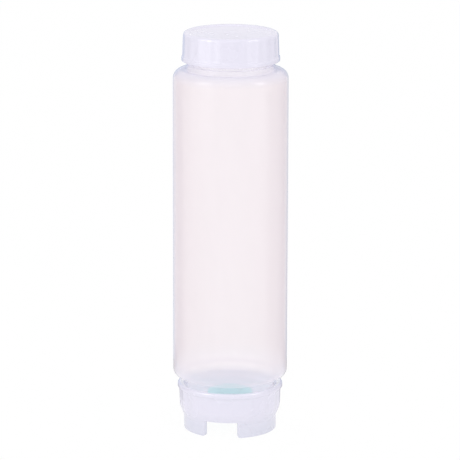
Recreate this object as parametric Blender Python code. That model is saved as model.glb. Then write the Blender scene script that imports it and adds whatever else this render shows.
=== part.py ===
"""A two-ended squeeze bottle for sauces, as separate moulded pieces at their real size.

The bottle stands on the three legs of its pouring cap and is filled through the wide neck at
the top, so what went in first is poured first. A silicone valve inside the pouring cap opens
when the wall is squeezed and shuts again by itself.

Metres, +Z up. The origin is in the middle of the ring of legs, on the surface that they stand
on. The middle of one gap between the legs faces -Y.
"""

import math

import bmesh
import bpy
from mathutils import Matrix, Vector

TURN = 2 * math.pi
QUARTER = TURN / 4

# Bottle: a tube with a rounded shoulder and a threaded neck at each end
BODY_RADIUS = 0.0350
BODY_LENGTH = 0.1916
BODY_WALL = 0.0012
SHOULDER_ROUND = 0.0050
FILL_NECK_STEP = 0.0105
FILL_NECK_LENGTH = 0.0184
POUR_NECK_STEP = 0.0085
POUR_NECK_LENGTH = 0.0165
NECK_WALL = 0.0018
RIM_ROUND = 0.0004

# Threads: one right-hand ridge on each neck, and the same ridge inside its cap
THREAD_PITCH = 0.0050
THREAD_TURNS = 1.5
THREAD_HEIGHT = 0.0015
THREAD_ROOT_WIDTH = 0.0024
THREAD_CREST_WIDTH = 0.0010
THREAD_SINK = 0.0006
NECK_THREAD_INSET = 0.0026
CAP_THREAD_INSET = 0.0024
THREAD_RUN_OUT_SHARE = 0.1

# Clearances between pieces
REST_GAP = 0.0003
THREAD_GAP = 0.0006

# Filling cap: a fluted cup with a bead round its mouth and a sunk panel on top
FILL_CAP_WALL = 0.0028
FILL_CAP_DRAFT = 0.0006
FILL_CAP_SHOULDER_GAP = 0.0054
FILL_CAP_PANEL = 0.0018
FILL_CAP_RECESS = 0.0008
FILL_CAP_RIM_WIDTH = 0.0026
FILL_CAP_EDGE_ROUND = 0.0014
FILL_CAP_BEAD_HEIGHT = 0.0024
FILL_CAP_BEAD_OUT = 0.0004
FILL_FLUTES = 24
FILL_FLUTE_DEPTH = 0.0005
FLUTE_RUN_OUT = 0.0016
GATE_RADIUS = 0.0018
GATE_DEPTH = 0.0004

# Sealing ring between the filling neck's rim and its cap
GASKET_THICKNESS = 0.0012
GASKET_LIP = 0.0008

# Pouring cap: a fluted cup with a flange at its mouth, which narrows to a ring of legs
POUR_CAP_WALL = 0.0028
POUR_CAP_DRAFT = 0.00045
POUR_CAP_SHOULDER_GAP = 0.0039
POUR_CAP_FLANGE_HEIGHT = 0.0036
POUR_CAP_FLANGE_OUT = 0.00085
POUR_FLUTES = 20
POUR_FLUTE_DEPTH = 0.0006
TAPER_HEIGHT = 0.0066
LEG_SET_IN = 0.0030
LEG_HEIGHT = 0.0078
LEG_WALL = 0.0024
LEG_CORNER_ROUND = 0.0018
LEG_EDGE_ROUND = 0.0006
LEGS = 3
NOTCH_HEIGHT = 0.0100
NOTCH_ANGLE = math.radians(42.4)
PLATE_ABOVE_NOTCH = 0.0022
PLATE_THICKNESS = 0.0014
LIP_THICKNESS = 0.0006
LIP_REACH = 0.0008

# Valve: a silicone hat. Its brim is snapped into a groove in the pouring cap's plate, and its
# crown has a crossed slit that leaves four flaps
BRIM_THICKNESS = 0.0012
BRIM_OUT = 0.0030
SLEEVE_RADIUS = 0.0138
SLEEVE_WALL = 0.0018
SLEEVE_HEIGHT = 0.0077
SLEEVE_ROUND = 0.0008
CROWN_THICKNESS = 0.0010
SLIT_MARGIN = 0.0024
FLAP_OPENING = math.radians(45)
FLAPS = 4

# How finely round shapes are divided, and how far a cutter runs past what it cuts
BOTTLE_STEPS = 48
RING_STEPS = 48
STEPS_PER_FLUTE = 4
THREAD_STEPS = 30
SHOULDER_STEPS = 5
EDGE_STEPS = 2
NOTCH_STEPS = 4
CUT_OVERRUN = 0.002

# Heights of the pieces, from the legs up
PLATE_UNDERSIDE = NOTCH_HEIGHT + PLATE_ABOVE_NOTCH
PLATE_TOP = PLATE_UNDERSIDE + PLATE_THICKNESS
BRIM_UNDERSIDE = PLATE_TOP + REST_GAP
BRIM_TOP = BRIM_UNDERSIDE + BRIM_THICKNESS
LIP_UNDERSIDE = BRIM_TOP + REST_GAP
LAND_TOP = LIP_UNDERSIDE + LIP_THICKNESS
LAND_UNDERSIDE = LAND_TOP - PLATE_THICKNESS
CROWN_TOP = BRIM_TOP + SLEEVE_HEIGHT
CROWN_UNDERSIDE = CROWN_TOP - CROWN_THICKNESS
POUR_RIM = LAND_TOP + REST_GAP
LOWER_SHOULDER = POUR_RIM + POUR_NECK_LENGTH
UPPER_SHOULDER = LOWER_SHOULDER + BODY_LENGTH
FILL_RIM = UPPER_SHOULDER + FILL_NECK_LENGTH
GASKET_UNDERSIDE = FILL_RIM + REST_GAP
GASKET_TOP = GASKET_UNDERSIDE + GASKET_THICKNESS
PANEL_UNDERSIDE = GASKET_TOP + REST_GAP
PANEL_TOP = PANEL_UNDERSIDE + FILL_CAP_PANEL
FILL_CAP_TOP = PANEL_TOP + FILL_CAP_RECESS
FILL_CAP_MOUTH = UPPER_SHOULDER + FILL_CAP_SHOULDER_GAP
POUR_CAP_MOUTH = LOWER_SHOULDER - POUR_CAP_SHOULDER_GAP

# Radii that follow from the bottle's body and necks
FILL_NECK_RADIUS = BODY_RADIUS - FILL_NECK_STEP
POUR_NECK_RADIUS = BODY_RADIUS - POUR_NECK_STEP
FILL_CAP_BORE = FILL_NECK_RADIUS + THREAD_HEIGHT + THREAD_GAP
FILL_CAP_RADIUS = FILL_CAP_BORE + FILL_CAP_WALL
POUR_CAP_BORE = POUR_NECK_RADIUS + THREAD_HEIGHT + THREAD_GAP
POUR_CAP_RADIUS = POUR_CAP_BORE + POUR_CAP_WALL
LEG_RADIUS = POUR_CAP_RADIUS - LEG_SET_IN
LEG_INSIDE = LEG_RADIUS - LEG_WALL
SLEEVE_BORE = SLEEVE_RADIUS - SLEEVE_WALL
BRIM_RADIUS = SLEEVE_RADIUS + BRIM_OUT
GROOVE_RADIUS = BRIM_RADIUS + REST_GAP
LIP_RADIUS = GROOVE_RADIUS - LIP_REACH
SEAT_RADIUS = GROOVE_RADIUS + PLATE_THICKNESS

# Threads: the height of each ridge's middle where it starts, and how far along the axis a
# cap's ridge lies from the neck's ridge that it bears on
THREAD_RISE = THREAD_PITCH * THREAD_TURNS
FILL_NECK_RIDGE = FILL_RIM - NECK_THREAD_INSET - THREAD_RISE
FILL_CAP_RIDGE = FILL_CAP_MOUTH + CAP_THREAD_INSET
POUR_NECK_RIDGE = POUR_RIM + NECK_THREAD_INSET
POUR_CAP_RIDGE = POUR_CAP_MOUTH - CAP_THREAD_INSET - THREAD_RISE
RIDGE_OFFSET = (THREAD_ROOT_WIDTH + THREAD_CREST_WIDTH) / 2 + REST_GAP

# Flaps: the slits run along the diagonals of a square window in the crown
WINDOW_HALF = (SLEEVE_BORE - SLIT_MARGIN) / math.sqrt(2)
FLAP_REACH = WINDOW_HALF - REST_GAP


def clear_scene():
    for obj in list(bpy.data.objects):
        bpy.data.objects.remove(obj)


def plastic(name, colour, roughness):
    """A material with one plain colour and no metal in it."""
    material = bpy.data.materials.new(name)
    material.use_nodes = True
    shader = material.node_tree.nodes["Principled BSDF"]
    shader.inputs["Base Color"].default_value = (*colour, 1)
    shader.inputs["Roughness"].default_value = roughness
    shader.inputs["Metallic"].default_value = 0
    return material


def polar(radius, angle, height):
    """A point round the Z axis. Angle 0 faces -Y, and it grows towards +X."""
    return Vector((radius * math.sin(angle), -radius * math.cos(angle), height))


def add_object(name, builder, material=None, origin=(0, 0, 0)):
    """Makes an object from a bmesh that is drawn in place, with its origin at that point."""
    bmesh.ops.recalc_face_normals(builder, faces=builder.faces)
    mesh = bpy.data.meshes.new(name)
    builder.to_mesh(mesh)
    builder.free()
    mesh.transform(Matrix.Translation(-Vector(origin)))
    obj = bpy.data.objects.new(name, mesh)
    obj.location = origin
    bpy.context.scene.collection.objects.link(obj)
    if material:
        mesh.materials.append(material)
    return obj


def smooth(obj, sharpest=math.radians(35)):
    """Shades an object smooth, but for the edges that turn by more than that angle."""
    obj.data.shade_smooth()
    obj.data.set_sharp_from_angle(angle=sharpest)


def combine(obj, name, builder, operation):
    """Joins a helper shape to an object, or cuts it away. The helper is no piece itself."""
    helper = add_object(name, builder)
    helper.hide_render = True
    helper.display_type = "WIRE"
    boolean = obj.modifiers.new(name, "BOOLEAN")
    boolean.operation = operation
    boolean.solver = "EXACT"
    boolean.object = helper


def arc(radius, height, rounding, start, end, steps):
    """Points of an outline on part of a circle, about a centre at that radius and height."""
    turns = [start + (end - start) * i / steps for i in range(steps + 1)]
    return [(radius + rounding * math.cos(t), height + rounding * math.sin(t)) for t in turns]


def fluted(points, depth):
    """The same points of an outline, with flutes that deep across each of them."""
    return [(radius, height, depth) for radius, height in points]


def lathe(profile, steps, flutes=0):
    """Turns a closed outline round the Z axis. A point is (radius, height), or (radius,
    height, depth) where flutes run along the surface."""
    turned = bmesh.new()
    rings = []
    for radius, height, *depth in profile:
        count = steps if radius else 1
        ring = []
        for i in range(count):
            angle = TURN * i / steps
            groove = sum(depth) * (1 - math.cos(flutes * angle)) / 2
            ring.append(turned.verts.new(polar(radius - groove, angle, height)))
        rings.append(ring)
    for ring, following in zip(rings, rings[1:] + rings[:1]):
        if len(ring) == len(following) == 1:
            continue
        for i in range(steps):
            places = ((ring, i), (ring, i + 1), (following, i + 1), (following, i))
            corners = [points[index % len(points)] for points, index in places]
            turned.faces.new(dict.fromkeys(corners))
    return turned


def skin(layers):
    """Closes rows of matching points into one body, with a face over each end."""
    body = bmesh.new()
    rows = [[body.verts.new(point) for point in layer] for layer in layers]
    for row, following in zip(rows, rows[1:]):
        for i in range(len(row)):
            j = (i + 1) % len(row)
            body.faces.new((row[i], row[j], following[j], following[i]))
    body.faces.new(rows[0])
    body.faces.new(rows[-1])
    return body


def helical_ridge(wall, direction, lowest, start_angle):
    """A thread's ridge on a round wall, outwards (direction 1) or inwards (-1). It is sunk
    into the wall and fades into it at both ends. Its middle starts at the lowest height."""
    count = round(THREAD_TURNS * THREAD_STEPS)
    root = wall - direction * THREAD_SINK
    sections = []
    for i in range(count + 1):
        share = i / count
        angle = start_angle + TURN * THREAD_TURNS * share
        middle = lowest + THREAD_RISE * share
        rise = min(1, min(share, 1 - share) / THREAD_RUN_OUT_SHARE)
        hidden = THREAD_SINK / 2
        crest = root + direction * (hidden + rise * (THREAD_SINK - hidden + THREAD_HEIGHT))
        outline = (
            (root, middle - THREAD_ROOT_WIDTH / 2),
            (crest, middle - THREAD_CREST_WIDTH / 2),
            (crest, middle + THREAD_CREST_WIDTH / 2),
            (root, middle + THREAD_ROOT_WIDTH / 2),
        )
        sections.append([polar(radius, angle, height) for radius, height in outline])
    return skin(sections)


def meeting_angle(cap_ridge, neck_ridge, side):
    """Where a cap's ridge starts, so that it lies along the neck's ridge, above it (side 1)
    or under it (side -1). The neck's ridge starts at angle 0."""
    return TURN * (cap_ridge - side * RIDGE_OFFSET - neck_ridge) / THREAD_PITCH


def neck_rim(radius, height, up):
    """Outline of a neck's rim from outside to inside, with both edges rounded over. Up is 1
    for a rim that faces up and -1 for one that faces down."""
    inner = radius - NECK_WALL
    level = height - up * RIM_ROUND
    turn = up * QUARTER
    outside = arc(radius - RIM_ROUND, level, RIM_ROUND, 0, turn, EDGE_STEPS)
    inside = arc(inner + RIM_ROUND, level, RIM_ROUND, turn, 2 * turn, EDGE_STEPS)
    return outside + inside


def make_bottle(material):
    """One blow-moulded wall, open at both necks."""
    corner = BODY_RADIUS - SHOULDER_ROUND
    inner_round = SHOULDER_ROUND - BODY_WALL
    low, high = LOWER_SHOULDER + SHOULDER_ROUND, UPPER_SHOULDER - SHOULDER_ROUND
    profile = [(POUR_NECK_RADIUS, LOWER_SHOULDER)]
    profile += arc(corner, low, SHOULDER_ROUND, -QUARTER, 0, SHOULDER_STEPS)
    profile += arc(corner, high, SHOULDER_ROUND, 0, QUARTER, SHOULDER_STEPS)
    profile += [(FILL_NECK_RADIUS, UPPER_SHOULDER)]
    profile += neck_rim(FILL_NECK_RADIUS, FILL_RIM, 1)
    profile += [(FILL_NECK_RADIUS - NECK_WALL, UPPER_SHOULDER - BODY_WALL)]
    profile += arc(corner, high, inner_round, QUARTER, 0, SHOULDER_STEPS)
    profile += arc(corner, low, inner_round, 0, -QUARTER, SHOULDER_STEPS)
    profile += [(POUR_NECK_RADIUS - NECK_WALL, LOWER_SHOULDER + BODY_WALL)]
    profile += reversed(neck_rim(POUR_NECK_RADIUS, POUR_RIM, -1))
    bottle = add_object("bottle", lathe(profile, BOTTLE_STEPS), material)
    fill_ridge = helical_ridge(FILL_NECK_RADIUS, 1, FILL_NECK_RIDGE, 0)
    pour_ridge = helical_ridge(POUR_NECK_RADIUS, 1, POUR_NECK_RIDGE, 0)
    combine(bottle, "fill_neck_ridge", fill_ridge, "UNION")
    combine(bottle, "pour_neck_ridge", pour_ridge, "UNION")
    smooth(bottle)


def fill_cap_profile():
    """Outline from the mouth up the outside, over the rim and panel, and down the inside."""
    bead = FILL_CAP_RADIUS + FILL_CAP_BEAD_OUT
    bead_top = FILL_CAP_MOUTH + FILL_CAP_BEAD_HEIGHT
    barrel_foot = bead_top + FILL_CAP_BEAD_OUT
    top_radius = FILL_CAP_RADIUS - FILL_CAP_DRAFT
    edge = top_radius - FILL_CAP_EDGE_ROUND
    edge_level = FILL_CAP_TOP - FILL_CAP_EDGE_ROUND
    rim_inside = edge - FILL_CAP_RIM_WIDTH
    gate_floor = PANEL_TOP - GATE_DEPTH
    flutes = [
        (FILL_CAP_RADIUS, barrel_foot + FLUTE_RUN_OUT),
        (top_radius, edge_level - FLUTE_RUN_OUT),
    ]
    profile = [(FILL_CAP_BORE, FILL_CAP_MOUTH), (bead, FILL_CAP_MOUTH), (bead, bead_top)]
    profile += [(FILL_CAP_RADIUS, barrel_foot)]
    profile += fluted(flutes, FILL_FLUTE_DEPTH)
    profile += arc(edge, edge_level, FILL_CAP_EDGE_ROUND, 0, QUARTER, EDGE_STEPS)
    profile += [(rim_inside, FILL_CAP_TOP), (rim_inside - FILL_CAP_RECESS, PANEL_TOP)]
    profile += [(GATE_RADIUS, PANEL_TOP), (GATE_RADIUS - GATE_DEPTH, gate_floor)]
    profile += [(0, gate_floor), (0, PANEL_UNDERSIDE), (FILL_CAP_BORE, PANEL_UNDERSIDE)]
    return profile


def make_fill_cap(material):
    """The cap that comes off to fill the bottle. Its origin is in the middle of its mouth."""
    cup = lathe(fill_cap_profile(), FILL_FLUTES * STEPS_PER_FLUTE, FILL_FLUTES)
    cap = add_object("fill_cap", cup, material, (0, 0, FILL_CAP_MOUTH))
    start = meeting_angle(FILL_CAP_RIDGE, FILL_NECK_RIDGE, -1)
    ridge = helical_ridge(FILL_CAP_BORE, -1, FILL_CAP_RIDGE, start)
    combine(cap, "fill_cap_ridge", ridge, "UNION")
    smooth(cap)


def make_fill_gasket(material):
    """The flat ring that the filling cap presses on the neck's rim."""
    outer = FILL_NECK_RADIUS + GASKET_LIP
    inner = FILL_NECK_RADIUS - NECK_WALL - GASKET_LIP
    profile = [(outer, GASKET_UNDERSIDE), (outer, GASKET_TOP)]
    profile += [(inner, GASKET_TOP), (inner, GASKET_UNDERSIDE)]
    ring = lathe(profile, RING_STEPS)
    gasket = add_object("fill_gasket", ring, material, (0, 0, GASKET_UNDERSIDE))
    smooth(gasket)


def pour_cap_profile():
    """Outline from the legs up the outside, over the flange, and down to the plate. The land
    that the neck's rim closes on overhangs the groove of the valve's brim."""
    flange = POUR_CAP_RADIUS + POUR_CAP_FLANGE_OUT
    flange_foot = POUR_CAP_MOUTH - POUR_CAP_FLANGE_HEIGHT
    flange_slope = POUR_CAP_FLANGE_HEIGHT / 4
    foot_edge = LEG_RADIUS - LEG_EDGE_ROUND
    flutes = [
        (POUR_CAP_RADIUS - POUR_CAP_DRAFT, LEG_HEIGHT + TAPER_HEIGHT),
        (POUR_CAP_RADIUS, flange_foot - FLUTE_RUN_OUT),
    ]
    profile = [(LEG_INSIDE, 0)]
    profile += arc(foot_edge, LEG_EDGE_ROUND, LEG_EDGE_ROUND, -QUARTER, 0, EDGE_STEPS)
    profile += [(LEG_RADIUS, LEG_HEIGHT)]
    profile += fluted(flutes, POUR_FLUTE_DEPTH)
    profile += [(POUR_CAP_RADIUS, flange_foot), (flange, flange_foot + flange_slope)]
    profile += [(flange, POUR_CAP_MOUTH - flange_slope), (POUR_CAP_RADIUS, POUR_CAP_MOUTH)]
    profile += [(POUR_CAP_BORE, POUR_CAP_MOUTH), (POUR_CAP_BORE, LAND_TOP)]
    profile += [(LIP_RADIUS, LAND_TOP), (LIP_RADIUS, LIP_UNDERSIDE)]
    profile += [(GROOVE_RADIUS, LIP_UNDERSIDE), (GROOVE_RADIUS, PLATE_TOP)]
    profile += [(SLEEVE_BORE, PLATE_TOP), (SLEEVE_BORE, PLATE_UNDERSIDE)]
    profile += [(SEAT_RADIUS, PLATE_UNDERSIDE), (SEAT_RADIUS, LAND_UNDERSIDE)]
    profile += [(LEG_INSIDE, LAND_UNDERSIDE)]
    return profile


def notch_cutter(middle):
    """The gap between two legs. It widens in a curve at the foot, which rounds the legs'
    corners."""
    outer, inner = LEG_RADIUS + CUT_OVERRUN, LEG_INSIDE - CUT_OVERRUN
    levels = [(-CUT_OVERRUN, LEG_CORNER_ROUND)]
    for i in range(NOTCH_STEPS + 1):
        turn = QUARTER * i / NOTCH_STEPS
        height = LEG_CORNER_ROUND * (1 - math.cos(turn))
        levels.append((height, LEG_CORNER_ROUND * (1 - math.sin(turn))))
    levels.append((NOTCH_HEIGHT, 0))
    layers = []
    for height, flare in levels:
        half = NOTCH_ANGLE / 2 + flare / LEG_RADIUS
        angles = [middle + half * (2 * i / NOTCH_STEPS - 1) for i in range(NOTCH_STEPS + 1)]
        outside = [polar(outer, angle, height) for angle in angles]
        inside = [polar(inner, angle, height) for angle in reversed(angles)]
        layers.append(outside + inside)
    return skin(layers)


def make_pour_cap(material):
    """The cap that the bottle stands on: a cup whose plate carries the valve, with legs that
    keep the plate off the table."""
    cup = lathe(pour_cap_profile(), POUR_FLUTES * STEPS_PER_FLUTE, POUR_FLUTES)
    cap = add_object("pour_cap", cup, material)
    start = meeting_angle(POUR_CAP_RIDGE, POUR_NECK_RIDGE, 1)
    ridge = helical_ridge(POUR_CAP_BORE, -1, POUR_CAP_RIDGE, start)
    combine(cap, "pour_cap_ridge", ridge, "UNION")
    for i in range(LEGS):
        combine(cap, f"leg_notch_{i + 1}", notch_cutter(TURN * i / LEGS), "DIFFERENCE")
    smooth(cap)


def window_cutter():
    """The square hole in the crown that the flaps fill."""
    sides = ((-1, -1), (1, -1), (1, 1), (-1, 1))
    ends = (CROWN_UNDERSIDE - CUT_OVERRUN, CROWN_TOP + CUT_OVERRUN)
    return skin([[(x * WINDOW_HALF, y * WINDOW_HALF, end) for x, y in sides] for end in ends])


def make_valve(material):
    """The hat, with the window for its flaps. Its origin is in the middle of its brim."""
    shoulder = SLEEVE_RADIUS - SLEEVE_ROUND
    profile = [(SLEEVE_BORE, BRIM_UNDERSIDE), (BRIM_RADIUS, BRIM_UNDERSIDE)]
    profile += [(BRIM_RADIUS, BRIM_TOP), (SLEEVE_RADIUS, BRIM_TOP)]
    profile += arc(shoulder, CROWN_TOP - SLEEVE_ROUND, SLEEVE_ROUND, 0, QUARTER, EDGE_STEPS)
    profile += [(0, CROWN_TOP), (0, CROWN_UNDERSIDE), (SLEEVE_BORE, CROWN_UNDERSIDE)]
    hat = lathe(profile, RING_STEPS)
    valve = add_object("valve", hat, material, (0, 0, BRIM_UNDERSIDE))
    combine(valve, "flap_window", window_cutter(), "DIFFERENCE")
    smooth(valve)


def make_flap(index, material):
    """One of the flaps between the slits, a triangle that points at the middle. Its origin
    is on its fold, along the upper edge of its root. The root slopes, so that the flap can
    swing down and out."""
    half_corner = TURN / FLAPS / 2
    tip = REST_GAP / 2 / math.sin(half_corner)
    slope = CROWN_THICKNESS * math.tan(FLAP_OPENING)
    layers = []
    for level, root in ((0, FLAP_REACH), (-CROWN_THICKNESS, FLAP_REACH - slope)):
        half = (root - tip) * math.tan(half_corner)
        corners = ((root, -half), (root, half), (tip, 0))
        layers.append([(x - FLAP_REACH, y, level) for x, y in corners])
    flap = add_object(f"valve_flap_{index + 1}", skin(layers), material)
    angle = TURN * index / FLAPS
    fold = (FLAP_REACH * math.cos(angle), FLAP_REACH * math.sin(angle), CROWN_TOP)
    flap.location = fold
    flap.rotation_euler.z = angle


def main():
    clear_scene()
    natural = plastic("natural_polyethylene", (0.90, 0.87, 0.89), 0.35)
    white = plastic("white_polypropylene", (0.84, 0.83, 0.92), 0.30)
    teal = plastic("teal_silicone", (0.10, 0.55, 0.62), 0.45)
    clear = plastic("clear_silicone", (0.86, 0.88, 0.90), 0.45)
    make_bottle(natural)
    make_fill_cap(white)
    make_fill_gasket(clear)
    make_pour_cap(white)
    make_valve(teal)
    for index in range(FLAPS):
        make_flap(index, teal)


main()
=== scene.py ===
"""Looks of the two-ended squeeze bottle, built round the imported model.

Each moulded piece is turned again with rounded edges, soft flutes and full threads, and takes
the place of its plain solid. Metres, +Z up, with the bottle standing on z = 0.
"""

import math

import bmesh
import bpy
from mathutils import Matrix, Vector


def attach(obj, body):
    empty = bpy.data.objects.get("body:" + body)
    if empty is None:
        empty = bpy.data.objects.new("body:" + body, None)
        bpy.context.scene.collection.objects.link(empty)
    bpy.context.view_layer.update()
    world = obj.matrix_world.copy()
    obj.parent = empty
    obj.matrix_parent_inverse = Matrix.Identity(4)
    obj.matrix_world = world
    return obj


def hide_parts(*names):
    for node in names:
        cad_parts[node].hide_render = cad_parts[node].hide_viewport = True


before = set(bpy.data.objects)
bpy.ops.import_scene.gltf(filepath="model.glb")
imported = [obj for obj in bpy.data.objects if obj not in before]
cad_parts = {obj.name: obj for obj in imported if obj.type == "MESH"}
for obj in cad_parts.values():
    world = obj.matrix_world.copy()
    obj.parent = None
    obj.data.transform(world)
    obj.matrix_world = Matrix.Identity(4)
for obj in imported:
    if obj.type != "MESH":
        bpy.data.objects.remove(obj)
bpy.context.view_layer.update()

TURN = 2 * math.pi

# Bottle: a tube with a rounded shoulder and a threaded neck at each end. A collar goes round
# the foot of the filling neck
BODY_RADIUS = 0.0350
BODY_WALL = 0.0012
LOWER_ROUND = 0.0050
UPPER_ROUND = 0.0055
LOWER_SHOULDER = 0.0328
UPPER_SHOULDER = 0.2244
FILL_NECK_RADIUS = 0.0245
FILL_RIM = 0.2428
POUR_NECK_RADIUS = 0.0265
POUR_RIM = 0.0163
NECK_WALL = 0.0018
RIM_ROUND = 0.0004
NECK_FOOT_ROUND = 0.0025
COLLAR_RADIUS = 0.0268
COLLAR_HEIGHT = 0.0031
COLLAR_ROUND = 0.0007

# Threads: one right-hand ridge on each neck, and the same ridge inside its cap
THREAD_PITCH = 0.0050
THREAD_TURNS = 1.5
THREAD_HEIGHT = 0.0014
THREAD_ROOT_WIDTH = 0.0023
THREAD_CREST_WIDTH = 0.0010
THREAD_FADE = 0.15
FILL_NECK_RIDGE = 0.2327
FILL_CAP_RIDGE = 0.2322
POUR_NECK_RIDGE = 0.0189
POUR_CAP_RIDGE = 0.0190
RIDGE_OFFSET = 0.0020

# Filling cap: a fluted cup with a bead round its mouth and a sunk panel on top
FILL_CAP_BORE = 0.0266
FILL_CAP_RADIUS = 0.0294
FILL_CAP_TOP_RADIUS = 0.0288
FILL_CAP_MOUTH = 0.2298
FILL_CAP_TOP = 0.2472
PANEL_TOP = 0.2464
PANEL_UNDERSIDE = 0.2446
RIM_WIDTH = 0.0016
FILL_EDGE_ROUND = 0.0021
BEAD_RADIUS = 0.0298
BEAD_HEIGHT = 0.0024
FILL_FLUTES = 24
FILL_FLUTE_DEPTH = 0.0003
FILL_FLUTE_FOOT = 0.2342
FILL_FLUTE_HEAD = 0.2442
GATE_RADIUS = 0.0050
GATE_DEPTH = 0.0003
GATE_ROUND = 0.0100

# Sealing ring between the filling neck's rim and its cap
GASKET_OUTER = 0.0253
GASKET_INNER = 0.0219
GASKET_UNDERSIDE = 0.2431
GASKET_TOP = 0.2443

# Pouring cap: a fluted cup with a flange at its mouth, which narrows to a ring of legs
POUR_CAP_BORE = 0.0286
POUR_CAP_RADIUS = 0.0314
POUR_CAP_DRAFT = 0.00045
POUR_CAP_MOUTH = 0.0289
FLANGE_RADIUS = 0.03225
FLANGE_FOOT = 0.0253
FLANGE_ROUND = 0.0014
FLANGE_FILLET = 0.0020
MOUTH_CHAMFER = 0.0022
MOUTH_CHAMFER_HEIGHT = 0.0012
POUR_FLUTES = 20
POUR_FLUTE_DEPTH = 0.0004
POUR_FLUTE_FOOT = 0.0144
POUR_FLUTE_HEAD = 0.0237
TAPER_TOP = 0.0144
TAPER_ROUND = 0.0060
LEG_RADIUS = 0.0284
LEG_INSIDE = 0.0260
LEG_HEIGHT = 0.0078
LEG_CORNER_ROUND = 0.0018
LEGS = 3
NOTCH_HEIGHT = 0.0100
NOTCH_ANGLE = math.radians(42.4)
PLATE_UNDERSIDE = 0.0122
PLATE_TOP = 0.0136
LIP_UNDERSIDE = 0.0154
LAND_TOP = 0.0160
LAND_UNDERSIDE = 0.0146
LIP_RADIUS = 0.0163
GROOVE_RADIUS = 0.0171
SEAT_RADIUS = 0.0185

# Valve: a silicone hat, its brim in the plate's groove, with a crossed slit in its crown
BRIM_RADIUS = 0.0168
BRIM_UNDERSIDE = 0.0139
BRIM_TOP = 0.0151
SLEEVE_RADIUS = 0.0138
SLEEVE_BORE = 0.0120
SLEEVE_ROUND = 0.0008
CROWN_UNDERSIDE = 0.0218
CROWN_TOP = 0.0228
WINDOW_HALF = 0.0067882
FLAP_GAP = 0.0003
FLAPS = 4

# How finely the pieces are divided and how their edges are softened
COLUMNS = 360
BOTTLE_COLUMNS = 240
RING_COLUMNS = 192
LEG_PITCH = COLUMNS // LEGS
FINE_STEP = 0.0005
SAME_HEIGHT = 0.000001
EDGE_STEPS = 5
EDGE_ROUND = 0.0003
BEVEL_STEPS = 3
BEVEL_ANGLE = math.radians(50)
FLUTE_RUN_OUT = 0.0035

# Surfaces: the heights over which painted shade and a painted reflection of the caps fade into
# the natural wall, the depth of the grain, and how soon a slant look finds a milky wall dense
LOWER_BLEND = 0.014
UPPER_BLEND = 0.007
GRAIN_DEPTH = 0.00003
SLANT_BLEND = 0.35

# Camera and frame, as worked out from the ellipses of the caps
AZIMUTH = math.radians(11.5)
ELEVATION = math.radians(13.4)
ROLL = math.radians(0.13)
DISTANCE = 2.0
TARGET = Vector((0, 0, 0.1243))
LENS_MM = 256.2
SENSOR_MM = 36
FRAME_PIXELS = 460
AXIS_OFFSET_PIXELS = 0.38
NEAREST = 0.1
FARTHEST = 20

# Cards, which only gloss shows. The near ones draw the edges of the pale pieces, and the far
# ones their highlights
CARD_STEPS = 12
CARD_LIFT = 0.0005
NEAR_CARD_DISTANCE = 0.12
EDGE_CARD_FOOT = 0.012
LOWER_CAP_CARD_HEAD = 0.020
UPPER_CAP_CARD_FOOT = 0.205
NEAR_CARD_HEAD = 0.256
FLOOR_CARD_RIM = 0.20
FAR_CARD_DISTANCE = 1.2
FAR_CARD_MIDDLE = 0.5
FAR_CARD_HEAD_DISTANCE = 0.9
FAR_CARD_HEAD = 1.1

# Studio
FLOOR_REACH = 4
FLOOR_WHITE = 0.98
SHADOW_SHARE = 0.05
WORLD_LIGHT = 0.86
BANK_SPREAD = math.radians(50)
SOFTBOX_DISTANCE = 1.3
SOFTBOX_WIDTH = 0.16
SOFTBOX_HEIGHT = 0.36

# How often light may bounce, and how many walls it may cross. Milky walls need a lot of both
BOUNCES = 24
DIFFUSE_BOUNCES = 16
WALLS_CROSSED = 64


def polar(radius, angle, height):
    """A point round the Z axis. Angle 0 faces -Y, and it grows towards +X."""
    return Vector((radius * math.sin(angle), -radius * math.cos(angle), height))


def direction(azimuth, elevation):
    """The way to something seen from the bottle at that angle round it and above it."""
    return polar(math.cos(elevation), azimuth, math.sin(elevation))


def eased(share):
    """0 below 0, 1 above 1, and a smooth rise between."""
    share = min(1, max(0, share))
    return share * share * (3 - 2 * share)


def rounded(corners, steps=EDGE_STEPS):
    """A closed outline whose corners (radius, height, rounding) are rounded over."""
    outline = []
    befores, afters = corners[-1:] + corners[:-1], corners[1:] + corners[:1]
    for before, (radius, height, rounding), after in zip(befores, corners, afters):
        corner = Vector((radius, height))
        back = (Vector(before[:2]) - corner).normalized()
        on = (Vector(after[:2]) - corner).normalized()
        if not rounding:
            outline.append(tuple(corner))
            continue
        half = back.angle(on) / 2
        centre = corner + (back + on).normalized() * rounding / math.sin(half)
        first = corner + back * rounding / math.tan(half) - centre
        last = corner + on * rounding / math.tan(half) - centre
        for i in range(steps + 1):
            outline.append(tuple(centre + first.slerp(last, i / steps) * rounding))
    return outline


def finely(outline, lowest=-math.inf, highest=math.inf):
    """The same closed outline, with its runs between those heights cut into short steps."""
    finer = []
    for (radius, height), (next_radius, next_height) in zip(outline, outline[1:] + outline[:1]):
        middle = (height + next_height) / 2
        length = math.hypot(next_radius - radius, next_height - height)
        cuts = max(1, math.ceil(length / FINE_STEP)) if lowest < middle < highest else 1
        for i in range(cuts):
            share = i / cuts
            step = (next_radius - radius) * share, (next_height - height) * share
            finer.append((radius + step[0], height + step[1]))
    return finer


def at_heights(outline, heights):
    """The same closed outline, with a point wherever it crosses one of the heights."""
    crossed = []
    for (radius, height), (next_radius, next_height) in zip(outline, outline[1:] + outline[:1]):
        crossed.append((radius, height))
        between = [h for h in heights if min(height, next_height) < h < max(height, next_height)]
        for level in sorted(between, reverse=next_height < height):
            share = (level - height) / (next_height - height)
            crossed.append((radius + (next_radius - radius) * share, level))
    return crossed


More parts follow.
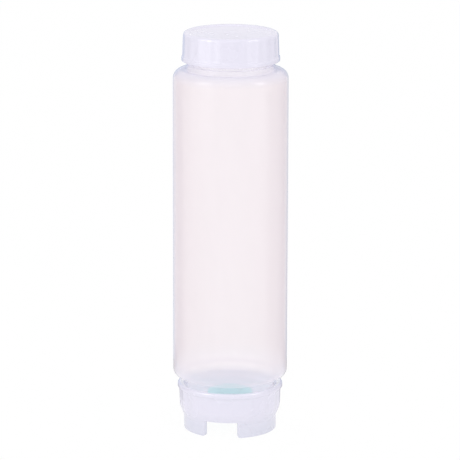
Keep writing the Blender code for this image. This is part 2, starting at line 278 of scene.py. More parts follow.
def ridge(angle, height, lowest, start_angle):
    """How far a thread stands off its wall at that place."""
    tallest = 0
    turns = ((angle - start_angle) / TURN) % 1
    while turns < THREAD_TURNS:
        away = abs(height - lowest - THREAD_PITCH * turns)
        flank = (THREAD_ROOT_WIDTH - THREAD_CREST_WIDTH) / 2
        share = (THREAD_ROOT_WIDTH / 2 - away) / flank
        fade = min(turns, THREAD_TURNS - turns) / THREAD_FADE
        tallest = max(tallest, THREAD_HEIGHT * eased(share) * eased(fade))
        turns += 1
    return tallest


def meeting_angle(cap_ridge, neck_ridge, side):
    """Where a cap's thread starts, so that it lies along the neck's thread."""
    return TURN * (cap_ridge - side * RIDGE_OFFSET - neck_ridge) / THREAD_PITCH


def flute(angle, height, flutes, depth, foot, head):
    """How deep a grip's flute is at that place. Its sides and its two ends are soft."""
    across = (1 - math.cos(flutes * angle)) / 2
    along = max(0, foot - height, height - head) / FLUTE_RUN_OUT
    return depth * across * eased(1 - along)


def turned(outline, columns, relief=None, place=None):
    """Turns a closed outline round the Z axis, and gives the mesh and its rings. Relief adds
    to the radius, and place shifts the angle."""
    mesh = bmesh.new()
    rings = []
    for radius, height in outline:
        ring = []
        for i in range(columns if radius > 0 else 1):
            angle = TURN * i / columns
            raised = relief(radius, angle, height) if relief else 0
            turned_angle = place(i, angle, height, radius) if place else angle
            ring.append(mesh.verts.new(polar(radius + raised, turned_angle, height)))
        rings.append(ring)
    return mesh, rings


def skinned(mesh, rings, columns, left_out=None):
    """Joins the rings with faces, apart from those left out."""
    for j, ring in enumerate(rings):
        following = rings[(j + 1) % len(rings)]
        if len(ring) == len(following) == 1:
            continue
        for i in range(columns):
            if left_out and left_out(j, i):
                continue
            places = ((ring, i), (ring, i + 1), (following, i + 1), (following, i))
            corners = [points[index % len(points)] for points, index in places]
            mesh.faces.new(dict.fromkeys(corners))


def finished(name, mesh):
    """The data of a mesh that is done."""
    data = bpy.data.meshes.new(name)
    mesh.to_mesh(data)
    mesh.free()
    return data


def placed(name, data):
    """A new object in the scene."""
    item = bpy.data.objects.new(name, data)
    bpy.context.scene.collection.objects.link(item)
    return item


def add_piece(name, mesh, body, nodes, material, bevel=0):
    """A finished piece: it stands for those nodes, rides on that body and takes that slot."""
    bmesh.ops.recalc_face_normals(mesh, faces=mesh.faces)
    data = finished(name, mesh)
    data.shade_smooth()
    data.materials.append(material)
    piece = placed(name, data)
    if bevel:
        edges = piece.modifiers.new("soft_edges", "BEVEL")
        edges.width = bevel
        edges.segments = BEVEL_STEPS
        edges.limit_method = "ANGLE"
        edges.angle_limit = BEVEL_ANGLE
        edges.harden_normals = False
    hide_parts(*nodes)
    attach(piece, body)
    return piece


def bottle_outline():
    """Up the outside from the lower neck's rim to the upper one's, and down the inside."""
    low, high = LOWER_SHOULDER, UPPER_SHOULDER
    inner_foot = NECK_FOOT_ROUND + BODY_WALL
    corners = [
        (POUR_NECK_RADIUS, POUR_RIM, RIM_ROUND),
        (POUR_NECK_RADIUS, low, NECK_FOOT_ROUND),
        (BODY_RADIUS, low, LOWER_ROUND),
        (BODY_RADIUS, high, UPPER_ROUND),
        (COLLAR_RADIUS, high, COLLAR_ROUND),
        (COLLAR_RADIUS, high + COLLAR_HEIGHT, COLLAR_ROUND),
        (FILL_NECK_RADIUS, high + COLLAR_HEIGHT, COLLAR_ROUND),
        (FILL_NECK_RADIUS, FILL_RIM, RIM_ROUND),
        (FILL_NECK_RADIUS - NECK_WALL, FILL_RIM, RIM_ROUND),
        (FILL_NECK_RADIUS - NECK_WALL, high - BODY_WALL, inner_foot),
        (BODY_RADIUS - BODY_WALL, high - BODY_WALL, UPPER_ROUND - BODY_WALL),
        (BODY_RADIUS - BODY_WALL, low + BODY_WALL, LOWER_ROUND - BODY_WALL),
        (POUR_NECK_RADIUS - NECK_WALL, low + BODY_WALL, inner_foot),
        (POUR_NECK_RADIUS - NECK_WALL, POUR_RIM, RIM_ROUND),
    ]
    return rounded(corners, 2 * EDGE_STEPS)


def bottle_relief(radius, angle, height):
    """Threads on the outside of both necks."""
    if radius > FILL_NECK_RADIUS - RIM_ROUND and height > UPPER_SHOULDER + COLLAR_HEIGHT:
        return ridge(angle, height, FILL_NECK_RIDGE, 0)
    if radius > POUR_NECK_RADIUS - RIM_ROUND and height < LOWER_SHOULDER:
        return ridge(angle, height, POUR_NECK_RIDGE, 0)
    return 0


def make_bottle(material):
    outline = finely(bottle_outline(), lowest=UPPER_SHOULDER + THREAD_PITCH)
    outline = finely(outline, highest=LOWER_SHOULDER - THREAD_HEIGHT)
    mesh, rings = turned(outline, BOTTLE_COLUMNS, bottle_relief)
    skinned(mesh, rings, BOTTLE_COLUMNS)
    add_piece("bottle_wall", mesh, "bottle", ["bottle"], material)


def fill_cap_outline():
    """From the mouth up the outside, over the rim to the gate dip, and back inside."""
    edge = FILL_CAP_TOP_RADIUS - FILL_EDGE_ROUND - RIM_WIDTH
    bead_top = FILL_CAP_MOUTH + BEAD_HEIGHT
    step = BEAD_RADIUS - FILL_CAP_RADIUS
    slope = FILL_CAP_TOP - PANEL_TOP
    corners = [
        (FILL_CAP_BORE, FILL_CAP_MOUTH, EDGE_ROUND),
        (BEAD_RADIUS, FILL_CAP_MOUTH, EDGE_ROUND),
        (BEAD_RADIUS, bead_top, EDGE_ROUND),
        (FILL_CAP_RADIUS, bead_top + step, EDGE_ROUND),
        (FILL_CAP_TOP_RADIUS, FILL_CAP_TOP, FILL_EDGE_ROUND),
        (edge, FILL_CAP_TOP, EDGE_ROUND),
        (edge - slope, PANEL_TOP, EDGE_ROUND),
        (GATE_RADIUS, PANEL_TOP, GATE_ROUND),
        (GATE_RADIUS / 2, PANEL_TOP - GATE_DEPTH, GATE_ROUND),
        (0, PANEL_TOP - GATE_DEPTH, 0),
        (0, PANEL_UNDERSIDE, 0),
        (FILL_CAP_BORE, PANEL_UNDERSIDE, EDGE_ROUND),
    ]
    return rounded(corners)


def fill_cap_relief(radius, angle, height):
    """Flutes on the outside and a thread on the inside."""
    if radius > FILL_CAP_TOP_RADIUS - FILL_EDGE_ROUND / 2:
        ends = FILL_FLUTE_FOOT, FILL_FLUTE_HEAD
        return -flute(angle, height, FILL_FLUTES, FILL_FLUTE_DEPTH, *ends)
    if abs(radius - FILL_CAP_BORE) < EDGE_ROUND and height < PANEL_UNDERSIDE - EDGE_ROUND:
        start = meeting_angle(FILL_CAP_RIDGE, FILL_NECK_RIDGE, -1)
        return -ridge(angle, height, FILL_CAP_RIDGE, start)
    return 0


def make_fill_cap(material):
    outline = finely(fill_cap_outline(), FILL_CAP_MOUTH, PANEL_UNDERSIDE)
    mesh, rings = turned(outline, COLUMNS, fill_cap_relief)
    skinned(mesh, rings, COLUMNS)
    add_piece("fill_cap_shell", mesh, "fill_cap", ["fill_cap"], material)


def make_fill_gasket(material):
    corners = [
        (GASKET_OUTER, GASKET_UNDERSIDE, EDGE_ROUND),
        (GASKET_OUTER, GASKET_TOP, EDGE_ROUND),
        (GASKET_INNER, GASKET_TOP, EDGE_ROUND),
        (GASKET_INNER, GASKET_UNDERSIDE, EDGE_ROUND),
    ]
    mesh, rings = turned(rounded(corners), RING_COLUMNS)
    skinned(mesh, rings, RING_COLUMNS)
    nodes = ["fill_gasket"]
    add_piece("sealing_ring", mesh, "fill_gasket", nodes, material)


def pour_cap_outline():
    """Up the outside from a leg's foot to the mouth, and down the inside, round the plate."""
    corners = [
        (LEG_INSIDE, 0, EDGE_ROUND),
        (LEG_RADIUS, 0, EDGE_ROUND),
        (LEG_RADIUS, LEG_HEIGHT, EDGE_ROUND),
        (POUR_CAP_RADIUS - POUR_CAP_DRAFT, TAPER_TOP, TAPER_ROUND),
        (POUR_CAP_RADIUS, FLANGE_FOOT, FLANGE_FILLET),
        (FLANGE_RADIUS, FLANGE_FOOT + FLANGE_RADIUS - POUR_CAP_RADIUS, FLANGE_ROUND / 2),
        (FLANGE_RADIUS, POUR_CAP_MOUTH, FLANGE_ROUND),
        (POUR_CAP_BORE + MOUTH_CHAMFER, POUR_CAP_MOUTH, 0),
        (POUR_CAP_BORE, POUR_CAP_MOUTH - MOUTH_CHAMFER_HEIGHT, EDGE_ROUND),
        (POUR_CAP_BORE, LAND_TOP, EDGE_ROUND),
        (LIP_RADIUS, LAND_TOP, EDGE_ROUND / 2),
        (LIP_RADIUS, LIP_UNDERSIDE, EDGE_ROUND / 2),
        (GROOVE_RADIUS, LIP_UNDERSIDE, EDGE_ROUND / 2),
        (GROOVE_RADIUS, PLATE_TOP, EDGE_ROUND / 2),
        (SLEEVE_BORE, PLATE_TOP, EDGE_ROUND),
        (SLEEVE_BORE, PLATE_UNDERSIDE, EDGE_ROUND),
        (SEAT_RADIUS, PLATE_UNDERSIDE, EDGE_ROUND),
        (SEAT_RADIUS, LAND_UNDERSIDE, EDGE_ROUND),
        (LEG_INSIDE, LAND_UNDERSIDE, EDGE_ROUND),
    ]
    return rounded(corners)


def pour_cap_relief(radius, angle, height):
    """Flutes on the outside and a thread on the inside."""
    if radius > LEG_RADIUS + EDGE_ROUND and height < FLANGE_FOOT:
        ends = POUR_FLUTE_FOOT, POUR_FLUTE_HEAD
        return -flute(angle, height, POUR_FLUTES, POUR_FLUTE_DEPTH, *ends)
    inside = abs(radius - POUR_CAP_BORE) < EDGE_ROUND / 2
    if inside and LAND_TOP + EDGE_ROUND < height < POUR_CAP_MOUTH - MOUTH_CHAMFER_HEIGHT:
        start = meeting_angle(POUR_CAP_RIDGE, POUR_NECK_RIDGE, 1)
        return -ridge(angle, height, POUR_CAP_RIDGE, start)
    return 0


def notch_heights():
    """Heights at which the legs' outside and inside both have a point."""
    steps = 2 * EDGE_STEPS
    curve = [LEG_CORNER_ROUND * (1 - math.cos(TURN / 4 * i / steps)) for i in range(1, steps + 1)]
    low = [height for height in curve if height > 2 * EDGE_ROUND]
    rise = NOTCH_HEIGHT - LEG_CORNER_ROUND
    count = round(rise / FINE_STEP)
    return low + [LEG_CORNER_ROUND + rise * (i + 1) / count for i in range(count)]


def notch_columns():
    """The columns on the two edges of the first gap between the legs."""
    reach = round(NOTCH_ANGLE / 2 / TURN * COLUMNS)
    return -reach, reach


def from_gap(index):
    """How many columns a column lies from the middle of the nearest gap between the legs."""
    return (index + LEG_PITCH // 2) % LEG_PITCH - LEG_PITCH // 2


def leg_angle(index, angle, height, radius):
    """Shifts the columns near the foot, so that they follow the legs' rounded corners."""
    if height > NOTCH_HEIGHT + FINE_STEP / 2 or radius < LEG_INSIDE - EDGE_ROUND:
        return angle
    low = max(0, LEG_CORNER_ROUND - height) / LEG_CORNER_ROUND
    flare = LEG_CORNER_ROUND * (1 - math.sqrt(max(0, 1 - low * low))) / LEG_RADIUS
    first, last = notch_columns()
    place = from_gap(index)
    middle = TURN * (index - place) / COLUMNS
    edge = NOTCH_ANGLE / 2 + flare
    if first <= place <= last:
        return middle + edge * place / last
    share = (abs(place) - last) / (LEG_PITCH / 2 - last)
    turned_angle = edge + (TURN / LEGS / 2 - edge) * share
    return middle + math.copysign(turned_angle, place)


def rings_between(start, end, count):
    """The rings from one to another, in the outline's order."""
    return [(start + k) % count for k in range((end - start) % count + 1)]


def close_gaps(mesh, rings, level, heights):
    """Faces down both sides and across the top of each gap between the legs. Level gives the
    ring on the outside or the inside at a height."""
    paired = [h for h in heights if ("out", h) in level and ("in", h) in level]
    foot = rings_between(level["in", paired[0]], level["out", paired[0]], len(rings))
    out_ring, in_ring = (rings[level[side, paired[-1]]] for side in ("out", "in"))
    for leg in range(LEGS):
        first, last = (column + leg * LEG_PITCH for column in notch_columns())
        for i in (first % COLUMNS, last % COLUMNS):
            mesh.faces.new([rings[j][i] for j in foot])
            for low, high in zip(paired, paired[1:]):
                outer = rings_between(level["out", low], level["out", high], len(rings))
                inner = level["in", high], level["in", low]
                mesh.faces.new([rings[j][i] for j in (*outer, *inner)])
        for k in range(first, last):
            i, j = k % COLUMNS, (k + 1) % COLUMNS
            mesh.faces.new((out_ring[i], out_ring[j], in_ring[j], in_ring[i]))


def make_pour_cap(material):
    """The cup and its ring of legs, turned as one, with the gaps between the legs left out."""
    heights = notch_heights()
    outline = finely(pour_cap_outline(), NOTCH_HEIGHT + FINE_STEP, POUR_CAP_MOUTH)
    outline = at_heights(outline, heights)
    mesh, rings = turned(outline, COLUMNS, pour_cap_relief, leg_angle)
    first, last = notch_columns()
    leg_rings = set()
    level = {}
    for j, (radius, height) in enumerate(outline):
        if radius > LEG_INSIDE - EDGE_ROUND and height < NOTCH_HEIGHT + SAME_HEIGHT:
            leg_rings.add(j)
            side = "out" if radius > LEG_INSIDE + EDGE_ROUND else "in"
            for wanted in heights:
                if abs(height - wanted) < SAME_HEIGHT:
                    level[side, wanted] = j

    def left_out(j, i):
        in_gap = first <= from_gap(i) < last
        return in_gap and j in leg_rings and (j + 1) % len(rings) in leg_rings

    skinned(mesh, rings, COLUMNS, left_out)
    close_gaps(mesh, rings, level, heights)
    loose = [vert for vert in mesh.verts if not vert.link_faces]
    bmesh.ops.delete(mesh, geom=loose, context="VERTS")
    add_piece("pour_cap_shell", mesh, "pour_cap", ["pour_cap"], material, EDGE_ROUND)


def make_valve(material):
    """The hat, with a square window in its crown for the flaps."""
    corners = [
        (SLEEVE_BORE, BRIM_UNDERSIDE, EDGE_ROUND),
        (BRIM_RADIUS, BRIM_UNDERSIDE, EDGE_ROUND),
        (BRIM_RADIUS, BRIM_TOP, EDGE_ROUND),
        (SLEEVE_RADIUS, BRIM_TOP, EDGE_ROUND),
        (SLEEVE_RADIUS, CROWN_TOP, SLEEVE_ROUND),
        (0, CROWN_TOP, 0),
        (0, CROWN_UNDERSIDE, 0),
        (SLEEVE_BORE, CROWN_UNDERSIDE, EDGE_ROUND),
    ]
    outline = [point for point in rounded(corners) if point[0] > 0]
    mesh, rings = turned(outline, RING_COLUMNS)
    crown = max(j for j, point in enumerate(outline) if abs(point[1] - CROWN_TOP) < SAME_HEIGHT)
    skinned(mesh, rings, RING_COLUMNS, lambda j, i: j == crown)
    window = []
    for height in (CROWN_TOP, CROWN_UNDERSIDE):
        ring = []
        for i in range(RING_COLUMNS):
            angle = TURN * i / RING_COLUMNS
            reach = WINDOW_HALF / max(abs(math.sin(angle)), abs(math.cos(angle)))
            ring.append(mesh.verts.new(polar(reach, angle, height)))
        window.append(ring)
    chain = [rings[crown], *window, rings[(crown + 1) % len(rings)]]
    for ring, following in zip(chain, chain[1:]):
        for i in range(RING_COLUMNS):
            j = (i + 1) % RING_COLUMNS
            mesh.faces.new((ring[i], ring[j], following[j], following[i]))
    bevel = EDGE_ROUND / 2
    add_piece("valve_hat", mesh, "valve", ["valve"], material, bevel)


def make_flap(index, material):
    """One of the four flaps between the slits, with its root sloped for the swing."""
    half_corner = TURN / FLAPS / 2
    tip = FLAP_GAP / 2 / math.sin(half_corner)
    thickness = CROWN_TOP - CROWN_UNDERSIDE
    reach = WINDOW_HALF - FLAP_GAP
    turn = Matrix.Rotation(TURN * index / FLAPS, 3, "Z")
    mesh = bmesh.new()
    layers = []
    for height, root in ((CROWN_TOP, reach), (CROWN_UNDERSIDE, reach - thickness)):
        half = (root - tip) * math.tan(half_corner)
        corners = ((root, -half), (root, half), (tip, 0))
        layers.append([mesh.verts.new(turn @ Vector((x, y, height))) for x, y in corners])
    top, bottom = layers
    mesh.faces.new(top)
    mesh.faces.new(bottom)
    for i, j in ((0, 1), (1, 2), (2, 0)):
        mesh.faces.new((top[i], top[j], bottom[j], bottom[i]))
    node = f"valve_flap_{index + 1}"
    bevel = EDGE_ROUND / 2
    add_piece(f"flap_{index + 1}", mesh, node, [node], material, bevel)


def link(tree, *pairs):
    """Links each pair of an output and an input."""
    for out, into in pairs:
        tree.links.new(out, into)


def maths(tree, operation, *given):
    """The result of that operation on those outputs."""
    node = tree.nodes.new("ShaderNodeMath")
    node.operation = operation
    link(tree, *zip(given, node.inputs))
    return node.outputs[0]


def effect_group(name, inputs, outputs):
    """A shader node group with those inputs and outputs, and what it is given and gives."""
    group = bpy.data.node_groups.new(name, "ShaderNodeTree")
    for label, value in inputs.items():
        kind = "NodeSocketColor" if isinstance(value, tuple) else "NodeSocketFloat"
        socket = group.interface.new_socket(label, in_out="INPUT", socket_type=kind)
        socket.default_value = value
    for label, kind in outputs.items():
        group.interface.new_socket(label, in_out="OUTPUT", socket_type=kind)
    given = group.nodes.new("NodeGroupInput").outputs
    result = group.nodes.new("NodeGroupOutput").inputs
    return group, given, result


def moulded_skin_group():
    """Surface of a moulding: a little unevenness in its colour, gloss and height."""
    group, given, result = effect_group(
        "moulded_skin",
        {
            "Colour": (0.8, 0.8, 0.8, 1),
            "Deep Colour": (0.7, 0.7, 0.7, 1),
            "Flow Scale": 40,
            "Grain Scale": 2000,
            "Least Roughness": 0.25,
            "Most Roughness": 0.4,
            "Grain Share": 0.3,
        },
        {
            "Colour": "NodeSocketColor",
            "Roughness": "NodeSocketFloat",
            "Height": "NodeSocketFloat",
        },
    )
    nodes = group.nodes
    place = nodes.new("ShaderNodeTexCoord").outputs["Object"]
    flow = nodes.new("ShaderNodeTexNoise")
    flow.inputs["Detail"].default_value = 3
    grain = nodes.new("ShaderNodeTexNoise")
    grain.inputs["Detail"].default_value = 2
    colour = nodes.new("ShaderNodeMix")
    colour.data_type = "RGBA"
    gloss = nodes.new("ShaderNodeMix")
    height = nodes.new("ShaderNodeMix")
    link(
        group,
        (place, flow.inputs["Vector"]),
        (place, grain.inputs["Vector"]),
        (given["Flow Scale"], flow.inputs["Scale"]),
        (given["Grain Scale"], grain.inputs["Scale"]),
        (flow.outputs["Fac"], colour.inputs["Factor"]),
        (given["Colour"], colour.inputs["A"]),
        (given["Deep Colour"], colour.inputs["B"]),
        (flow.outputs["Fac"], gloss.inputs["Factor"]),
        (given["Least Roughness"], gloss.inputs["A"]),
        (given["Most Roughness"], gloss.inputs["B"]),
        (given["Grain Share"], height.inputs["Factor"]),
        (flow.outputs["Fac"], height.inputs["A"]),
        (grain.outputs["Fac"], height.inputs["B"]),
        (colour.outputs["Result"], result["Colour"]),
        (gloss.outputs["Result"], result["Roughness"]),
        (height.outputs["Result"], result["Height"]),
    )
    return group


def painted_end_light_group():
    """Painted light and shade: shifts a colour towards another below a low height and above a
    high one.
    """
    group, given, result = effect_group(
        "painted_end_light",
        {
            "Colour": (0.8, 0.8, 0.8, 1),
            "End Colour": (0.7, 0.7, 0.7, 1),
            "Low End": 0,
            "Low Blend": 0.01,
            "High Blend": 0.99,
            "High End": 1,
        },
        {"Colour": "NodeSocketColor"},
    )
    nodes = group.nodes
    place = nodes.new("ShaderNodeTexCoord").outputs["Object"]
    split = nodes.new("ShaderNodeSeparateXYZ")
    link(group, (place, split.inputs[0]))
    shares = []
    for full, none in (("Low End", "Low Blend"), ("High End", "High Blend")):
        share = nodes.new("ShaderNodeMapRange")
        share.interpolation_type = "SMOOTHSTEP"
        link(
            group,
            (split.outputs["Z"], share.inputs["Value"]),
            (given[none], share.inputs["From Min"]),
            (given[full], share.inputs["From Max"]),
        )
        shares.append(share.outputs["Result"])
    colour = nodes.new("ShaderNodeMix")
    colour.data_type = "RGBA"
    link(
        group,
        (maths(group, "MAXIMUM", *shares), colour.inputs["Factor"]),
        (given["Colour"], colour.inputs["A"]),
        (given["End Colour"], colour.inputs["B"]),
        (colour.outputs["Result"], result["Colour"]),
    )
    return group


def painted_lip_light_group():
    """Painted light: paints the inside of a thin lip paler, for the light that comes through it.
    The lip is what lies within that reach of a height and inside that radius."""
    group, given, result = effect_group(
        "painted_lip_light",
        {
            "Colour": (0.8, 0.8, 0.8, 1),
            "Lip Colour": (0.9, 0.9, 0.9, 1),
            "Lip Height": 0,
            "Lip Reach": 0.001,
            "Lip Radius": 0.01,
        },
        {"Colour": "NodeSocketColor"},
    )
    nodes = group.nodes
    place = nodes.new("ShaderNodeTexCoord").outputs["Object"]
    split = nodes.new("ShaderNodeSeparateXYZ")
    flat = nodes.new("ShaderNodeVectorMath")
    flat.operation = "MULTIPLY"
    flat.inputs[1].default_value = (1, 1, 0)
    radius = nodes.new("ShaderNodeVectorMath")
    radius.operation = "LENGTH"
    link(
        group,
        (place, split.inputs[0]),
        (place, flat.inputs[0]),
        (flat.outputs["Vector"], radius.inputs[0]),
    )
    inside = maths(group, "LESS_THAN", radius.outputs["Value"], given["Lip Radius"])
    near = maths(group, "COMPARE", split.outputs["Z"], given["Lip Height"], given["Lip Reach"])
    colour = nodes.new("ShaderNodeMix")
    colour.data_type = "RGBA"
    link(
        group,
        (maths(group, "MULTIPLY", inside, near), colour.inputs["Factor"]),
        (given["Colour"], colour.inputs["A"]),
        (given["Lip Colour"], colour.inputs["B"]),
        (colour.outputs["Result"], result["Colour"]),
    )
    return group


def add_painted_light(material, group, **values):
    """Puts painted light, shade and reflection between a moulding's skin and its base colour."""
    tree = material.node_tree
    socket = tree.nodes["Principled BSDF"].inputs["Base Color"]
    effect = tree.nodes.new("ShaderNodeGroup")
    effect.node_tree = group
    for name, value in values.items():
        effect.inputs[name.replace("_", " ")].default_value = value
    link(tree, (socket.links[0].from_socket, effect.inputs["Colour"]))
    link(tree, (effect.outputs["Colour"], socket))


def moulding(name, skin, skin_values, bump, **shader_values):
    """A plastic or rubber whose surface comes from the shared skin group."""
    material = bpy.data.materials.new(name)
    material.use_nodes = True
    tree = material.node_tree
    shader = tree.nodes["Principled BSDF"]
    surface = tree.nodes.new("ShaderNodeGroup")
    surface.node_tree = skin
    for socket, value in skin_values.items():
        surface.inputs[socket].default_value = value
    relief = tree.nodes.new("ShaderNodeBump")
    relief.inputs["Strength"].default_value = bump
    relief.inputs["Distance"].default_value = GRAIN_DEPTH
    link(
        tree,
        (surface.outputs["Colour"], shader.inputs["Base Color"]),
        (surface.outputs["Roughness"], shader.inputs["Roughness"]),
        (surface.outputs["Height"], relief.inputs["Height"]),
        (relief.outputs["Normal"], shader.inputs["Normal"]),
    )
    for socket, value in shader_values.items():
        shader.inputs[socket.replace("_", " ")].default_value = value
    return material


def shown_rays(tree):
    """1 for rays that show something to the camera, straight, in a gloss or through glass."""
    path = tree.nodes.new("ShaderNodeLightPath").outputs
    total = path["Is Camera Ray"]
    for name in ("Is Glossy Ray", "Is Transmission Ray"):
        total = maths(tree, "MAXIMUM", total, path[name])
    return total


def milky_wall(material, face_on, edge_on, to_light):
    """Opacity of a milky wall. A look crosses it at a slant through more plastic, and light
    that the milk scatters gets through more of it. Each wall counts once, where it is entered."""
    tree = material.node_tree
    slant = tree.nodes.new("ShaderNodeLayerWeight")
    slant.inputs["Blend"].default_value = SLANT_BLEND
    looked = tree.nodes.new("ShaderNodeMix")
    looked.inputs["A"].default_value = face_on
    looked.inputs["B"].default_value = edge_on
    opacity = tree.nodes.new("ShaderNodeMix")
    opacity.inputs["A"].default_value = to_light
    side = tree.nodes.new("ShaderNodeNewGeometry")
    entered = tree.nodes.new("ShaderNodeMix")
    entered.inputs["B"].default_value = 0
    link(
        tree,
        (slant.outputs["Facing"], looked.inputs["Factor"]),
        (shown_rays(tree), opacity.inputs["Factor"]),
        (looked.outputs["Result"], opacity.inputs["B"]),
        (side.outputs["Backfacing"], entered.inputs["Factor"]),
        (opacity.outputs["Result"], entered.inputs["A"]),
        (entered.outputs["Result"], tree.nodes["Principled BSDF"].inputs["Alpha"]),
    )


def make_materials():
    """The natural wall, the white caps, the clear ring and the teal valve."""
    skin = moulded_skin_group()
    painted_end_light = painted_end_light_group()
    natural = moulding(
        "natural_polyethylene",
        skin,
        {
            "Colour": (0.852, 0.757, 0.803, 1),
            "Deep Colour": (0.844, 0.746, 0.793, 1),
            "Flow Scale": 30,
            "Least Roughness": 0.16,
            "Most Roughness": 0.24,
        },
        bump=0.15,
        IOR=1.51,
    )
    milky_wall(natural, face_on=0.38, edge_on=0.85, to_light=0.1)
    # Painted light and a painted reflection of the pouring cap: the wall's foot is painted
    # lighter and bluer
    add_painted_light(
        natural,
        painted_end_light,
        End_Colour=(0.835, 0.805, 0.90, 1),
        Low_End=LOWER_SHOULDER,
        Low_Blend=LOWER_SHOULDER + LOWER_BLEND,
    )
    # Painted shade and a painted reflection of the filling cap: the neck and shoulder under it
    # are painted darker and more violet
    add_painted_light(
        natural,
        painted_end_light,
        End_Colour=(0.715, 0.68, 0.82, 1),
        High_Blend=UPPER_SHOULDER - UPPER_BLEND,
        High_End=UPPER_SHOULDER,
    )
    white = moulding(
        "white_polypropylene",
        skin,
        {
            "Colour": (0.780, 0.758, 0.870, 1),
            "Deep Colour": (0.775, 0.753, 0.865, 1),
            "Flow Scale": 60,
            "Least Roughness": 0.25,
            "Most Roughness": 0.29,
        },
        bump=0.02,
        IOR=1.49,
    )
    milky_wall(white, face_on=0.97, edge_on=1, to_light=0.05)
    # Painted shade: the pouring cap is painted darker from its taper down to its legs
    add_painted_light(
        white,
        painted_end_light,
        End_Colour=(0.72, 0.715, 0.82, 1),
        Low_End=LEG_HEIGHT / 2,
        Low_Blend=TAPER_TOP,
    )
    # Painted light: the inside of the pouring cap's mouth is painted paler, for light that comes
    # through the thin lip
    add_painted_light(
        white,
        painted_lip_light_group(),
        Lip_Colour=(0.95, 0.94, 0.98, 1),
        Lip_Height=POUR_CAP_MOUTH,
        Lip_Reach=MOUTH_CHAMFER_HEIGHT,
        Lip_Radius=FLANGE_RADIUS - FLANGE_ROUND,
    )
    clear = moulding(
        "clear_silicone",
        skin,
        {
            "Colour": (0.90, 0.91, 0.93, 1),
            "Deep Colour": (0.86, 0.88, 0.90, 1),
            "Least Roughness": 0.4,
            "Most Roughness": 0.5,
        },
        bump=0.2,
        Transmission_Weight=0.5,
        IOR=1.41,
    )
    teal = moulding(
        "teal_silicone",
        skin,
        {
            "Colour": (0.33, 0.69, 0.73, 1),
            "Deep Colour": (0.30, 0.65, 0.69, 1),
            "Least Roughness": 0.42,
            "Most Roughness": 0.52,
        },
        bump=0.2,
        IOR=1.41,
    )
    return natural, white, clear, teal


def make_world():
    """A white room. What the camera sees of it is full white, whatever light it gives."""
    world = bpy.data.worlds.new("white_studio")
    world.use_nodes = True
    bpy.context.scene.world = world
    tree = world.node_tree
    background = tree.nodes["Background"]
    background.inputs["Color"].default_value = (1, 1, 1, 1)
    level = tree.nodes.new("ShaderNodeMix")
    level.inputs["A"].default_value = WORLD_LIGHT
    level.inputs["B"].default_value = 1
    link(
        tree,
        (shown_rays(tree), level.inputs["Factor"]),
        (level.outputs["Result"], background.inputs["Strength"]),
    )


def make_floor():
    """A white floor. For the camera part of its white is its own, which softens the shadow."""
    mesh = bmesh.new()
    bmesh.ops.create_grid(mesh, x_segments=1, y_segments=1, size=FLOOR_REACH)
    data = finished("floor", mesh)
    floor = placed("floor", data)
    material = bpy.data.materials.new("white_floor")
    material.use_nodes = True
    tree = material.node_tree
    shader = tree.nodes["Principled BSDF"]
    shader.inputs["Base Color"].default_value = (FLOOR_WHITE, FLOOR_WHITE, FLOOR_WHITE, 1)
    shader.inputs["Roughness"].default_value = 1
    shader.inputs["Specular IOR Level"].default_value = 0
    glow = tree.nodes.new("ShaderNodeEmission")
    mix = tree.nodes.new("ShaderNodeMixShader")
    share = tree.nodes.new("ShaderNodeMath")
    share.operation = "MULTIPLY"
    share.inputs[1].default_value = 1 - SHADOW_SHARE
    link(
        tree,
        (shown_rays(tree), share.inputs[0]),
        (share.outputs[0], mix.inputs["Fac"]),
        (shader.outputs["BSDF"], mix.inputs[1]),
        (glow.outputs["Emission"], mix.inputs[2]),
        (mix.outputs["Shader"], tree.nodes["Material Output"].inputs["Surface"]),
    )
    data.materials.append(material)


def aimed(name, lamp, azimuth, elevation):
    """A lamp turned to the bottle from that angle from the camera's own, and the way to it."""
    away = direction(AZIMUTH + math.radians(azimuth), math.radians(elevation))
    item = placed(name, lamp)
    item.rotation_euler = away.to_track_quat("Z", "Y").to_euler()
    return item, away


def add_softbox(name, azimuth, elevation, power):
    """A tall lamp beside the camera, pointed at the middle of the bottle."""
    lamp = bpy.data.lights.new(name, "AREA")
    lamp.shape = "RECTANGLE"
    lamp.size = SOFTBOX_WIDTH
    lamp.size_y = SOFTBOX_HEIGHT
    lamp.energy = power
    softbox, away = aimed(name, lamp, azimuth, elevation)
    softbox.location = TARGET + away * SOFTBOX_DISTANCE


def add_bank(name, azimuth, elevation, strength):
    """A very wide, even lamp that lights the floor and the bottle alike from that side."""
    lamp = bpy.data.lights.new(name, "SUN")
    lamp.energy = strength
    lamp.angle = BANK_SPREAD
    aimed(name, lamp, azimuth, elevation)


def add_card(name, first, last, start, end, shade, strength=1):
    """A card that stands or lies in an arc round the bottle, between two angles from the
    camera's own and two places (radius, height). It shows in gloss alone."""
    mesh = bmesh.new()
    columns = []
    for i in range(CARD_STEPS + 1):
        angle = AZIMUTH + math.radians(first + (last - first) * i / CARD_STEPS)
        columns.append([mesh.verts.new(polar(radius, angle, z)) for radius, z in (start, end)])
    for column, following in zip(columns, columns[1:]):
        mesh.faces.new((*column, *reversed(following)))
    data = finished(name, mesh)
    card = placed(name, data)
    card.visible_camera = False
    card.visible_diffuse = False
    card.visible_transmission = False
    card.visible_shadow = False
    material = bpy.data.materials.new(name)
    material.use_nodes = True
    tree = material.node_tree
    tree.nodes.remove(tree.nodes["Principled BSDF"])
    glow = tree.nodes.new("ShaderNodeEmission")
    glow.inputs["Color"].default_value = (*shade, 1)
    glow.inputs["Strength"].default_value = strength
    link(tree, (glow.outputs["Emission"], tree.nodes["Material Output"].inputs["Surface"]))
    data.materials.append(material)


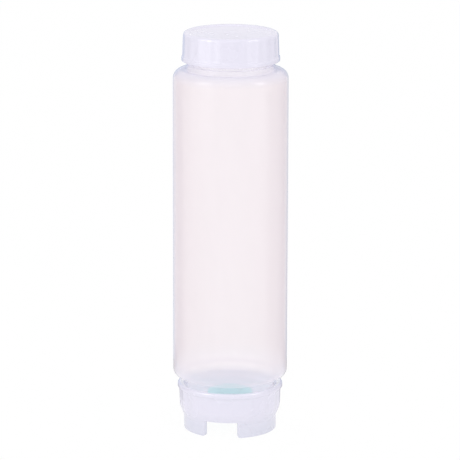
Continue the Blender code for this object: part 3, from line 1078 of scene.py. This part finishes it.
def make_near_cards():
    """Cards close round the bottle, darker than the room, which draw its pale edges."""
    heights = CARD_LIFT, EDGE_CARD_FOOT, LOWER_CAP_CARD_HEAD, UPPER_CAP_CARD_FOOT, NEAR_CARD_HEAD
    foot, edge_foot, low, high, head = ((NEAR_CARD_DISTANCE, height) for height in heights)
    add_card("left_edge_card", -176, -132, edge_foot, head, (0.26, 0.42, 0.66))
    add_card("right_edge_card", 132, 176, edge_foot, head, (0.12, 0.24, 0.42))
    add_card("back_edge_card", 176, 184, foot, head, (0.12, 0.14, 0.25))
    add_card("left_side_card", -118, -92, low, high, (0.04, 0.04, 0.08))
    add_card("right_side_card", 68, 124, low, high, (0.04, 0.04, 0.06))
    for side, (first, last) in (("left", (-124, -96)), ("right", (80, 124))):
        add_card(side + "_lower_cap_card", first, last, foot, low, (0.65, 0.65, 0.70))
        add_card(side + "_upper_cap_card", first, last, high, head, (0.55, 0.55, 0.60))
    edge, rim = (LEG_RADIUS, CARD_LIFT), (FLOOR_CARD_RIM, CARD_LIFT)
    add_card("floor_card", 128, 232, edge, rim, (0.08, 0.08, 0.14))


def make_far_cards():
    """Bright cards, low and high on both sides, which give the pieces their highlights."""
    foot, middle = (FAR_CARD_DISTANCE, CARD_LIFT), (FAR_CARD_DISTANCE, FAR_CARD_MIDDLE)
    head = FAR_CARD_HEAD_DISTANCE, FAR_CARD_HEAD
    white = (1, 1, 1)
    add_card("left_band_card", -82, -34, foot, middle, white, strength=2.4)
    add_card("right_band_card", 46, 72, foot, middle, white, strength=1.8)
    add_card("left_glow_card", -72, -44, middle, head, white, strength=6)
    add_card("right_glow_card", 50, 74, middle, head, white, strength=4.5)


def make_lights():
    """The cards, the room's own light, two wide banks and a softbox on each side."""
    make_near_cards()
    make_far_cards()
    make_world()
    add_bank("front_bank", azimuth=-8, elevation=35, strength=0.35)
    add_bank("top_bank", azimuth=0, elevation=88, strength=0.2)
    add_softbox("left_softbox", azimuth=-59, elevation=30, power=0.9)
    add_softbox("right_softbox", azimuth=64, elevation=30, power=0.7)


def make_camera():
    data = bpy.data.cameras.new("photo_camera")
    data.lens = LENS_MM
    data.sensor_width = SENSOR_MM
    data.shift_x = -AXIS_OFFSET_PIXELS / FRAME_PIXELS
    data.clip_start = NEAREST
    data.clip_end = FARTHEST
    camera = placed("photo_camera", data)
    away = direction(AZIMUTH, ELEVATION)
    look = (-away).to_track_quat("-Z", "Y").to_matrix() @ Matrix.Rotation(ROLL, 3, "Z")
    camera.location = TARGET + away * DISTANCE
    camera.rotation_euler = look.to_euler()
    bpy.context.scene.camera = camera


def main():
    natural, white, clear, teal = make_materials()
    make_bottle(natural)
    make_fill_cap(white)
    make_fill_gasket(clear)
    make_pour_cap(white)
    make_valve(teal)
    for index in range(FLAPS):
        make_flap(index, teal)
    make_floor()
    make_lights()
    make_camera()
    scene = bpy.context.scene
    scene.view_settings.view_transform = "Standard"
    scene.cycles.transparent_max_bounces = WALLS_CROSSED
    scene.cycles.max_bounces = BOUNCES
    scene.cycles.diffuse_bounces = DIFFUSE_BOUNCES


main()
